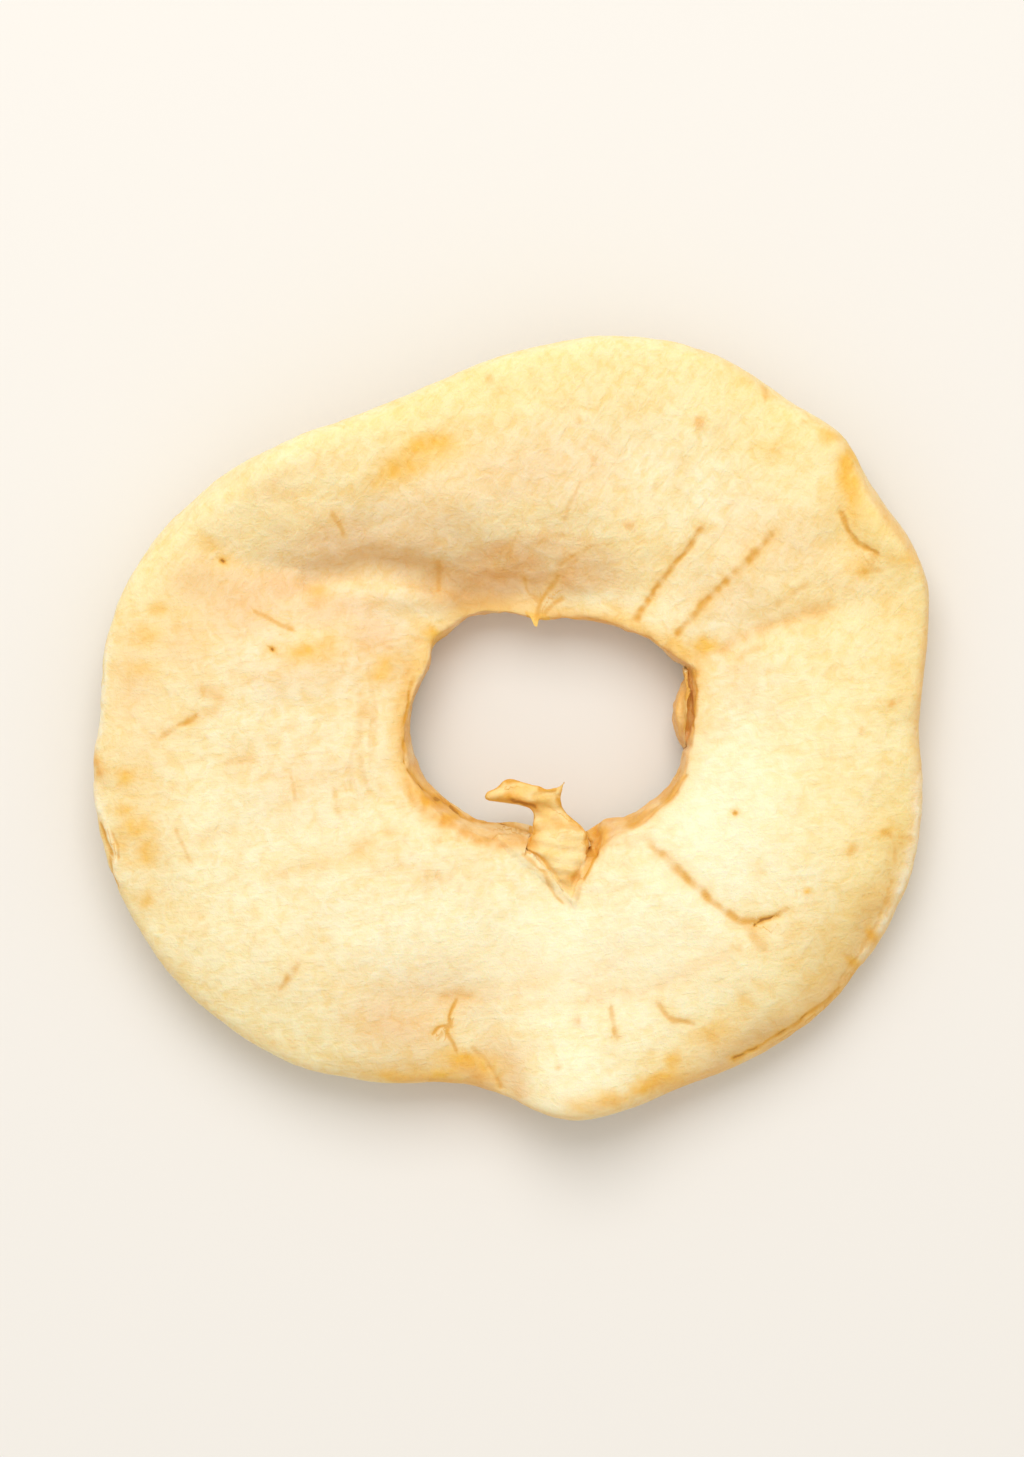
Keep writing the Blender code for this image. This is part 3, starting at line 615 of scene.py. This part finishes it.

# %% [markdown]
# The flesh under the peel holds the most colour, so the slice is yellow along its rim, and most
# so from the north east to the south east. The south lobe and the flesh south east of the hole
# dried palest. The west and the far north east dried tan. Shade is painted in as tan at the foot
# of the terrace and on the south and south east rims, and painted light lifts the shaded slopes.

# %% Yellowing, tanning, and painted light and shade
# (angle, how yellow the outer third is)
YELLOW_RIM = (
    (0, 0.70), (30, 0.8), (60, 0.55), (90, 0.60), (118, 0.75), (133, 0.40), (150, 0.45), (165, 0.45),
    (185, 0.35), (205, 0.25), (225, 0.28), (255, 0.3), (275, 0.1), (290, 0.3), (315, 0.9), (340, 0.9),
)
# Tan flesh, and painted shade laid in as tan: along the foot of the terrace down to the hole, and on
# the south east rim.
TAN_AND_PAINTED_SHADE = (
    (640, 640, 50, 35, 0, 0.55), (600, 664, 40, 22, 0, 0.45), (490, 605, 60, 30, 10, 0.60),
    (415, 642, 62, 15, 6, 0.85), (345, 666, 40, 26, 0, 0.90), (385, 700, 50, 25, 0, 0.50),
    (440, 868, 45, 20, 0, 0.50), (300, 720, 20, 70, 0, 0.55), (430, 882, 28, 15, -10, 1.00),
    (295, 705, 14, 30, 0, 1.00), (445, 624, 45, 18, 10, 0.75), (425, 648, 42, 9, -4, 1.00),
    (328, 657, 20, 14, 0, 1.00), (318, 686, 22, 20, 0, 0.90), (374, 660, 26, 12, 0, 0.95),
    (418, 684, 20, 16, 0, 0.85), (385, 755, 40, 30, 0, 0.40), (485, 903, 9, 20, 14, 0.85),
    (400, 671, 34, 11, 0, 0.95), (395, 634, 30, 14, 12, 0.80), (476, 660, 30, 12, 0, 1.00),
    (372, 655, 18, 12, 0, 0.60), (605, 893, 30, 10, 25, 0.90), (648, 862, 14, 20, -38, 0.90),
    (474, 896, 10, 18, -15, 0.70), (655, 657, 25, 12, -10, 0.60), (602, 703, 20, 14, 0, 0.45),
    (515, 852, 45, 13, 0, 0.28), (400, 822, 36, 16, 15, 0.15), (440, 802, 24, 12, 0, 0.25),
)
# Painted light: warm, bright patches that lift the shade of slopes turned from the lamp, mostly on the
# slope of the terrace.
PAINTED_LIGHT = (
    (548, 640, 28, 20, -35, 1.00), (372, 624, 34, 12, 22, 0.90), (520, 636, 16, 16, 0, 0.70),
    (455, 620, 30, 12, 10, 0.50), (650, 655, 34, 14, 12, 0.60), (600, 645, 34, 16, 0, 0.40),
    (493, 625, 26, 12, 0, 0.75),
)
# Painted shade, with some deep tan: darker patches where the foot of the terrace, the south rim and the
# south east rim lie in shade.
PAINTED_SHADE_AND_DEEP_TAN = (
    (464, 665, 26, 9, -4, 1.00), (432, 650, 20, 4, 0, 0.30), (503, 665, 24, 6, 0, 0.40),
    (438, 643, 22, 8, 0, 0.25), (664, 830, 10, 28, -28, 0.50), (642, 864, 28, 11, 42, 0.40),
    (612, 887, 30, 9, 30, 0.75), (645, 838, 14, 26, -28, 0.25), (676, 804, 8, 18, -15, 0.35),
    (428, 703, 6, 12, -40, 0.30), (330, 657, 14, 10, 0, 0.30), (430, 903, 30, 6, 0, 0.45),
    (462, 903, 20, 6, -14, 0.35),
)
# How yellow the east side is between the hole and the rim.
YELLOW_EAST = 0.48
slow = noise_at(points, 5.0, 22)
yellow = around(YELLOW_RIM, angle) * smooth_share(across, 0.50, 0.92) * (1 + 0.35 * slow)
east = smooth_share(places[:, 0], 13.0, 21.0)
east *= smooth_share(-np.abs(places[:, 1] - 1.0), -14.0, -9.0)
yellow = np.maximum(yellow, YELLOW_EAST * east)
# Pale flesh and one patch of painted light, as a map.
add_map("bleaching_and_light", bleached_and_lit)
add_map("yellowing", yellow * up * (1 - 0.5 * bleached_and_lit))
# Tan, with painted shade in it, as a map.
add_map("tan_and_painted_shade", patches(TAN_AND_PAINTED_SHADE, SOFT_EDGE) * (1 + 0.25 * slow) * up)
# Painted light on the shaded slopes, as a map.
add_map("painted_light", patches(PAINTED_LIGHT, SOFT_EDGE) * up)
# Painted shade, with some deep tan, as a map.
add_map("painted_shade_and_deep_tan", patches(PAINTED_SHADE_AND_DEEP_TAN, SOFT_EDGE) * (1 + 0.35 * slow) * up)

# %% [markdown]
# Stains are where juice pooled and browned. Specks are bits of seed coat. Both are patches again,
# only smaller and with sharper edges.

# %% Stains, specks and brown edges
STAINS = (
    (442, 592, 20, 6, 22, 0.80), (432, 603, 26, 7, 22, 0.85), (335, 640, 7, 6, 0, 0.60),
    (374, 615, 5, 3, 0, 0.30), (381, 694, 8, 6, 20, 0.80), (385, 683, 6, 5, 0, 0.40),
    (391, 662, 7, 6, 0, 0.45), (390, 690, 14, 10, 0, 0.55), (292, 755, 5, 5, 0, 0.75),
    (309, 672, 5, 4, 0, 0.50), (302, 685, 7, 6, 0, 0.45), (301, 702, 10, 4, 0, 0.35),
    (292, 773, 5, 5, 0, 0.75), (298, 781, 8, 6, 0, 0.70), (303, 793, 6, 8, 0, 0.70),
    (296, 800, 5, 3, 0, 0.60), (303, 816, 6, 5, 0, 0.45), (290, 787, 4, 8, 0, 0.50),
    (656, 606, 5, 18, 5, 0.90), (645, 586, 8, 5, 0, 0.50), (657, 625, 6, 10, 0, 0.50),
    (422, 701, 8, 12, -40, 0.60), (667, 836, 3, 5, 20, 0.90), (658, 849, 3, 5, 30, 0.90),
    (657, 792, 2, 4, -30, 0.50), (673, 785, 6, 3, 20, 0.55), (612, 862, 8, 6, 0, 0.30),
    (628, 848, 6, 5, 0, 0.30), (664, 651, 8, 6, 0, 0.60), (684, 648, 9, 5, 20, 0.50),
    (615, 591, 9, 4, 0, 0.35), (603, 556, 5, 5, 0, 0.40), (464, 900, 16, 5, -14, 0.90),
    (448, 905, 16, 4, -4, 0.80), (426, 906, 16, 4, 0, 0.60), (535, 918, 22, 5, 14, 0.55),
    (558, 910, 18, 6, 22, 0.75), (568, 899, 6, 7, 0, 0.60), (586, 884, 14, 7, 30, 0.55),
    (602, 872, 10, 6, 50, 0.35), (583, 690, 8, 6, 0, 0.80), (570, 690, 12, 4, -30, 0.60),
    (447, 685, 9, 6, -40, 0.70), (432, 735, 3, 30, 0, 0.50), (437, 762, 6, 8, 0, 0.60),
    (444, 768, 7, 4, -15, 1.00), (456, 776, 5, 4, 0, 0.80), (609, 803, 3, 6, 0, 0.25),
    (633, 814, 2, 2, 0, 0.80), (628, 835, 8, 4, 45, 0.35),
)
# The flake's neck and arm, browned where they dried thin, and painted shadow on the wall behind the
# flake.
FLAKE_STAINS = (
    (503, 770, 8, 9, 0, 0.70), (490, 764, 10, 5, 10, 0.65), (497, 786, 4, 8, 0, 0.60),
    (506, 793, 4, 6, 0, 0.35), (518, 806, 5, 3, 0, 0.80), (530, 786, 5, 9, 0, 0.90),
)
# Where the wall of the hole and the south and south east rims dried brown.
BROWNED = (
    (444, 767, 8, 4, -15, 0.80), (455, 777, 5, 3, 0, 0.60), (496, 787, 2.5, 5, 0, 0.50),
    # At the notch's right wall the brown is painted shadow in the gap beside the flake.
    (530, 787, 4, 9, 0, 0.40), (565, 762, 8, 3, 40, 0.40), (578, 712, 3, 16, 0, 0.45),
    (468, 906, 12, 3, -16, 0.50), (440, 908, 16, 2, 0, 0.40), (560, 911, 14, 4, 22, 0.40),
    (667, 837, 2, 4, 20, 0.50), (657, 850, 2, 4, 30, 0.40), (490, 915, 6, 4, -30, 0.35),
    (535, 920, 14, 3, 14, 0.25), (586, 887, 8, 4, 30, 0.20),
)
# (angle, how brown the wall of the hole is)
BROWN_WALL = (
    (0, 0.8), (60, 0.9), (120, 0.9), (180, 0.9), (212, 0.85), (230, 0.60), (250, 0.40), (262, 0.50),
    (275, 0.85), (300, 0.80), (330, 0.75),
)
SPECKS = (
    (579, 578, 3.0, 3.0, 0, 0.6), (546, 630.5, 3.0, 3.0, 0, 0.6), (519, 577, 2.0, 2.0, 0, 0.4),
    (527.5, 597.5, 2.0, 2.0, 0, 0.4), (632.7, 578.3, 1.7, 1.7, 0, 0.5),
    (662, 732, 2.0, 2.0, 0, 0.5), (677, 718, 1.7, 1.7, 0, 0.5), (520, 878, 2.4, 2.4, 0, 0.4),
    (476, 557, 2.4, 2.4, 0, 0.5), (511, 900, 1.4, 1.4, 0, 0.5),
)
# (angle, how golden the hole's edge is)
GOLDEN_EDGE = (
    (0, 0.5), (30, 0.8), (55, 0.9), (80, 0.6), (110, 0.7), (145, 0.8), (180, 0.9), (205, 0.8),
    (235, 0.3), (270, 0.1), (300, 0.1), (330, 0.3),
)
under = smooth_share(-facing[:, 2], 0.1, 0.6)
stain_noise = layered_noise(((1.6, 0.6, 23), (0.6, 0.6, 33)))
stain = patches(STAINS, FIRM_EDGE) * (1.1 + stain_noise)
stain = np.maximum(stain, patches(FLAKE_STAINS, FIRM_EDGE) * np.maximum(flake, wall))
stain = np.maximum(stain, 0.6 * halo)
blotches = smooth_share(noise_at(points, 2.4, 27), 0.05, 0.50)
blotches *= smooth_share(across, 0.55, 0.95) * up
stain = np.maximum(stain, 0.25 * blotches * around(YELLOW_RIM, angle))
from_hole = (radius - hole_radius) * (1 + 0.5 * noise_at(points, 1.8, 26))
golden = around(GOLDEN_EDGE, angle) * smooth_share(-from_hole, -1.8, 0.3) * 0.75
stain = np.maximum(stain, golden * (1 - wall) * (1 - flake) * up)
turned_down = smooth_share(-facing[:, 2], -0.92, -0.45)
# The tag that hangs from the hole's north edge: its angle and half its width, in degrees, and how
# far inside the edge it starts, in mm.
TAG_ANGLE, TAG_HALF, TAG_START = 97, 6, 0.15
tag = (radius < hole_radius - TAG_START) & (np.abs(angle - TAG_ANGLE) < TAG_HALF)
# The flake's turned-down edges: partly their own brown, partly painted warm shade in the crevices
# beside them.
stain = np.maximum(stain, flake * 0.75 * turned_down)
stain = np.maximum(stain, 0.85 * tag)
# (angle, how tan the peeled side is; where it isn't tan it is pale)
TAN_SIDE = (
    (0, 0.75), (30, 0.5), (45, 0.25), (90, 0.1), (150, 0.05), (175, 0.1), (200, 0.3), (230, 0.15),
    (247, 0.4), (257, 0.95), (268, 0.5), (276, 0.2), (285, 0.7), (310, 0.85), (330, 0.55), (345, 0.7),
)
tan_side = around(TAN_SIDE, angle) * (1 + 0.5 * slow)
add_map("staining", stain * (1 - under))
brown = np.maximum(brown, patches(BROWNED, FIRM_EDGE) * (1 + 0.5 * noise_at(points, 1.0, 29)))
# Brown on the turned-down edges of the flake and the leaf, partly painted warm shade.
brown = np.maximum(brown, 0.45 * np.maximum(flake, leaf) * turned_down)
add_map("browned", np.maximum(brown, patches(SPECKS, CRISP_EDGE) * up))
add_map("darkened", smooth_share(brown, 0.80, 1.00) * 0.8)
add_map("creases", creases * up * (0.20 + 0.3 * beside_hole))
add_map("steep_grain", np.maximum(north, north_east))
add_map("cored", wall * around(BROWN_WALL, angle) * (1 + 0.6 * noise_at(points, 1.3, 25)))
add_map("torn", flake)
add_map("leaf", leaf * (0.8 + 0.4 * noise_at(points, 0.5, 28)))
add_map("pale_side", side * (1 - tan_side) * (1 - under))
add_map("tan_side", side * tan_side * (1 - under))
add_map("pale_lip", pale)
add_map("under", under * (0.8 + 0.4 * slow))

# %% [markdown]
# ## The flesh
# Fruit flesh dried in warm air is a matt, slightly waxy skin of collapsed cells. This one is pale,
# as if it had been dipped against browning. Light enters it a little way, which the subsurface
# weight gives. Its colours are sRGB hex values, turned to linear by one function. They are laid
# over each other in turn: cream, then each map in the order of the table, then the thin lines.

# %% Colours of the flesh
def linear(hex_colour):
    """Linear red, green and blue and full alpha from an sRGB hex colour."""
    shares = [int(hex_colour[i:i + 2], 16) / 255 for i in (1, 3, 5)]
    return (*[s / 12.92 if s <= 0.04045 else ((s + 0.055) / 1.055) ** 2.4 for s in shares], 1.0)


CREAM = linear("#F2E3B6")
PALE_CREAM = linear("#F6EEC9")
# What the flesh is multiplied by in its pores and between its fibres.
WARM_SHADE = linear("#FAEAC2")
# The thin lines: golden brown, and dark brown where they are deepest.
LINE_BROWN = linear("#DDA238")
DARK_BROWN = linear("#9A6228")
# Each map's colour, in the order in which they are laid.
LAYERS = (
    # Pale flesh, and painted light in one patch.
    ("bleaching_and_light", linear("#FAF3D2")),
    # Tan, with painted shade in it.
    ("tan_and_painted_shade", linear("#EDCCA0")),
    ("yellowing", linear("#F5E09E")),
    # Painted light that lifts the shaded slopes.
    ("painted_light", linear("#FFE8B2")),
    # Painted shade, with some deep tan.
    ("painted_shade_and_deep_tan", linear("#CEA368")),
    ("under", linear("#ECD6A4")),
    ("pale_side", linear("#F5E8B8")),
    ("tan_side", linear("#EBBB76")),
    ("pale_lip", linear("#F8EED0")),
    ("creases", linear("#EABF7E")),
    ("cored", linear("#ECBE82")),
    ("torn", linear("#F7E2AC")),
    ("leaf", linear("#EDCC9C")),
    ("staining", linear("#F1C055")),
    ("browned", linear("#E4A136")),
    ("darkened", DARK_BROWN),
)


# %% One function that adds a node
def add_node(tree, kind, settings=None, inputs=None):
    """Adds a node, sets its properties, and sets or links its inputs by name or number."""
    made = tree.nodes.new(kind)
    for name, value in (settings or {}).items():
        setattr(made, name, value)
    for socket, value in (inputs or {}).items():
        if isinstance(value, bpy.types.NodeSocket):
            tree.links.new(value, made.inputs[socket])
        else:
            made.inputs[socket].default_value = value
    return made


# %% [markdown]
# The colour between the maps comes from noise on Object coordinates, whose scale is one over the
# size in metres: blotches of 3 mm, mottling of 1 mm, threads 0.55 mm wide and five times as
# long, and pores of 0.25 mm. The threads run level or steeply, as one more map says.

# %% Material: dried apple flesh, air dried and matt
# The numbers of the Mix node's sockets, for colours and for values.
MIX_FACTOR, MIX_UNDER, MIX_OVER, MIX_RESULT = 0, 6, 7, 2
FLOAT_UNDER, FLOAT_OVER, FLOAT_RESULT = 2, 3, 0
# Sizes of the patterns, in mm, how much longer than wide a thread is, and how it leans, in degrees.
BLOTCH, MOTTLE, THREAD, PORE = 3.0, 1.0, 0.55, 0.25
THREAD_STRETCH, THREAD_LEANS = 5.0, (6, 52)
# A thin line's even core and where it ends, in half widths.
LINE_CORE, LINE_END = 0.2, 1.9
# How far the finest relief rises and how far light goes in, in metres.
BUMP_RISE, LIGHT_REACH = 0.00013, 0.0007


def per_metre(size_mm):
    """Noise scale for lumps of a size in millimetres."""
    return 1 / (size_mm * MM)


def dried_flesh():
    """The flesh: the maps laid over cream, the thin lines, the grain, and the finest relief."""
    material = bpy.data.materials.new("air_dried_apple_flesh")
    material.use_nodes = True
    tree = material.node_tree
    tree.nodes.clear()
    place = add_node(tree, "ShaderNodeTexCoord").outputs["Object"]

    blotches = add_node(tree, "ShaderNodeTexNoise", inputs={
        "Vector": place, "Scale": per_metre(BLOTCH), "Detail": 3.0, "Roughness": 0.6})
    pale = add_node(tree, "ShaderNodeMapRange", inputs={
        "Value": blotches.outputs["Fac"], "From Min": 0.35, "From Max": 0.62})
    colour = add_node(tree, "ShaderNodeMix", {"data_type": "RGBA"}, {
        MIX_FACTOR: pale.outputs["Result"], MIX_UNDER: CREAM, MIX_OVER: PALE_CREAM,
    }).outputs[MIX_RESULT]
    for name, over in LAYERS:
        share = add_node(tree, "ShaderNodeAttribute", {"attribute_name": name}).outputs["Fac"]
        colour = add_node(tree, "ShaderNodeMix", {"data_type": "RGBA"}, {
            MIX_FACTOR: share, MIX_UNDER: colour, MIX_OVER: over}).outputs[MIX_RESULT]

    from_line = add_node(tree, "ShaderNodeAttribute", {"attribute_name": "from_line"}).outputs["Fac"]
    line_brown = add_node(tree, "ShaderNodeAttribute", {"attribute_name": "line_brown"}).outputs["Fac"]
    widths_away = add_node(tree, "ShaderNodeMath", {"operation": "ABSOLUTE"}, {0: from_line})
    in_line = add_node(tree, "ShaderNodeMapRange", {"interpolation_type": "SMOOTHSTEP"}, {
        "Value": widths_away.outputs[0], "From Min": LINE_CORE, "From Max": LINE_END,
        "To Min": 1.0, "To Max": 0.0})
    how_brown = add_node(tree, "ShaderNodeMath", {"operation": "MULTIPLY"}, {
        0: in_line.outputs["Result"], 1: line_brown})
    how_dark = add_node(tree, "ShaderNodeMapRange", inputs={
        "Value": how_brown.outputs[0], "From Min": 0.88, "From Max": 1.0, "To Max": 0.80})
    colour = add_node(tree, "ShaderNodeMix", {"data_type": "RGBA"}, {
        MIX_FACTOR: how_brown.outputs[0], MIX_UNDER: colour, MIX_OVER: LINE_BROWN,
    }).outputs[MIX_RESULT]
    colour = add_node(tree, "ShaderNodeMix", {"data_type": "RGBA"}, {
        MIX_FACTOR: how_dark.outputs["Result"], MIX_UNDER: colour, MIX_OVER: DARK_BROWN,
    }).outputs[MIX_RESULT]

    threads = []
    for lean in THREAD_LEANS:
        along = add_node(tree, "ShaderNodeMapping", {"vector_type": "TEXTURE"}, {
            "Vector": place, "Rotation": (0, 0, math.radians(lean)),
            "Scale": (THREAD_STRETCH, 1.0, 1.0)})
        threads.append(add_node(tree, "ShaderNodeTexNoise", inputs={
            "Vector": along.outputs["Vector"], "Scale": per_metre(THREAD), "Detail": 3.0,
            "Roughness": 0.6, "Distortion": 1.2}).outputs["Fac"])
    steep = add_node(tree, "ShaderNodeAttribute", {"attribute_name": "steep_grain"}).outputs["Fac"]
    thread = add_node(tree, "ShaderNodeMix", {"data_type": "FLOAT"}, {
        MIX_FACTOR: steep, FLOAT_UNDER: threads[0], FLOAT_OVER: threads[1]}).outputs[FLOAT_RESULT]
    mottling = add_node(tree, "ShaderNodeTexNoise", inputs={
        "Vector": place, "Scale": per_metre(MOTTLE), "Detail": 4.0, "Roughness": 0.65,
        "Distortion": 0.6}).outputs["Fac"]
    pores = add_node(tree, "ShaderNodeTexNoise", inputs={
        "Vector": place, "Scale": per_metre(PORE), "Detail": 2.0, "Roughness": 0.6}).outputs["Fac"]
    grain = add_node(tree, "ShaderNodeMath", {"operation": "MULTIPLY_ADD"}, {
        0: thread, 1: 0.45, 2: mottling})
    warmth = add_node(tree, "ShaderNodeMapRange", inputs={
        "Value": grain.outputs[0], "From Min": 0.55, "From Max": 0.82,
        "To Min": 0.70, "To Max": 0.0})
    bleaching_and_light = add_node(tree, "ShaderNodeAttribute", {"attribute_name": "bleaching_and_light"}).outputs["Fac"]
    neither_bleached_nor_lit = add_node(tree, "ShaderNodeMapRange", inputs={
        "Value": bleaching_and_light, "To Min": 1.0, "To Max": 0.35})
    warmth = add_node(tree, "ShaderNodeMath", {"operation": "MULTIPLY"}, {
        0: warmth.outputs["Result"], 1: neither_bleached_nor_lit.outputs["Result"]})
    colour = add_node(tree, "ShaderNodeMix", {"data_type": "RGBA", "blend_type": "MULTIPLY"}, {
        MIX_FACTOR: warmth.outputs[0], MIX_UNDER: colour, MIX_OVER: WARM_SHADE}).outputs[MIX_RESULT]

    fine_height = add_node(tree, "ShaderNodeMath", {"operation": "MULTIPLY_ADD"}, {
        0: pores, 1: 0.35, 2: grain.outputs[0]})
    bump = add_node(tree, "ShaderNodeBump", inputs={
        "Strength": 1.0, "Distance": BUMP_RISE, "Height": fine_height.outputs[0]})
    roughness = add_node(tree, "ShaderNodeMapRange", inputs={
        "Value": mottling, "To Min": 0.52, "To Max": 0.72})
    shader = add_node(tree, "ShaderNodeBsdfPrincipled", inputs={
        "Base Color": colour, "Roughness": roughness.outputs["Result"], "Specular IOR Level": 0.3,
        "Subsurface Weight": 0.25, "Subsurface Radius": (1.0, 0.6, 0.3),
        "Subsurface Scale": LIGHT_REACH, "Normal": bump.outputs["Normal"]})
    add_node(tree, "ShaderNodeOutputMaterial", inputs={"Surface": shader.outputs["BSDF"]})
    return material


flesh = dried_flesh()
print("nodes in the flesh:", len(flesh.node_tree.nodes))

# %% [markdown]
# ## The finished slice
# The fine mesh becomes one object at the origin, in place of the CAD solid, which is hidden. It
# wears the flesh and rides on the one body there is.

# %% Make the slice
fine.materials.clear()
fine.materials.append(flesh)
fine.shade_smooth()
slice_piece = bpy.data.objects.new("apple_slice", fine)
bpy.context.scene.collection.objects.link(slice_piece)
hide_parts("apple_ring")
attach(slice_piece, "root")
triangles = sum(len(face.vertices) - 2 for face in fine.polygons)
print("triangles of the slice:", triangles)

# %% [markdown]
# ## Floor, light and camera
# The photograph looks straight down in soft daylight: a broad light from the top of the picture,
# and so much sky that shadows stay pale. A world of even warm white does the sky, and one large
# area lamp the rest. The floor is plain and pale.

# %% Floor
# Half the floor's width, in metres.
FLOOR_REACH = 0.6
floor_shape = bmesh.new()
bmesh.ops.create_grid(floor_shape, x_segments=1, y_segments=1, size=FLOOR_REACH)
floor_mesh = bpy.data.meshes.new("table_top")
floor_shape.to_mesh(floor_mesh)
floor_shape.free()
floor = bpy.data.objects.new("table_top", floor_mesh)
bpy.context.scene.collection.objects.link(floor)
paint = bpy.data.materials.new("matt_white_board")
paint.use_nodes = True
board = paint.node_tree.nodes["Principled BSDF"]
board.inputs["Base Color"].default_value = linear("#E9E6E1")
board.inputs["Roughness"].default_value = 0.8
floor_mesh.materials.append(paint)

# %% Light
# The sky's strength, the lamp's width in metres and power in watts, and where it hangs.
SKY_STRENGTH, LAMP_SIZE, LAMP_POWER = 0.735, 0.45, 2.2
LAMP_TURN, LAMP_RISE, LAMP_AWAY = math.radians(98), math.radians(55), 0.6
scene = bpy.context.scene
sky = bpy.data.worlds.new("even_sky")
sky.use_nodes = True
sky.node_tree.nodes["Background"].inputs["Color"].default_value = (1.0, 0.965, 0.915, 1)
sky.node_tree.nodes["Background"].inputs["Strength"].default_value = SKY_STRENGTH
scene.world = sky
lamp = bpy.data.lights.new("window", "AREA")
lamp.size = LAMP_SIZE
lamp.energy = LAMP_POWER
lamp.color = (1.0, 0.99, 0.97)
window = bpy.data.objects.new("window", lamp)
scene.collection.objects.link(window)
window.location = Vector((
    math.cos(LAMP_TURN) * math.cos(LAMP_RISE), math.sin(LAMP_TURN) * math.cos(LAMP_RISE),
    math.sin(LAMP_RISE))) * LAMP_AWAY
window.rotation_euler = (-window.location).to_track_quat("-Z", "Y").to_euler()
scene.view_settings.view_transform = "Standard"

# %% Camera
# The lens in mm and the height in metres.
LENS_MM, CAMERA_HEIGHT = 180, 0.543
lens = bpy.data.cameras.new("overhead")
lens.lens = LENS_MM
camera = bpy.data.objects.new("overhead", lens)
camera.location = (0, 0, CAMERA_HEIGHT)
scene.collection.objects.link(camera)
scene.camera = camera
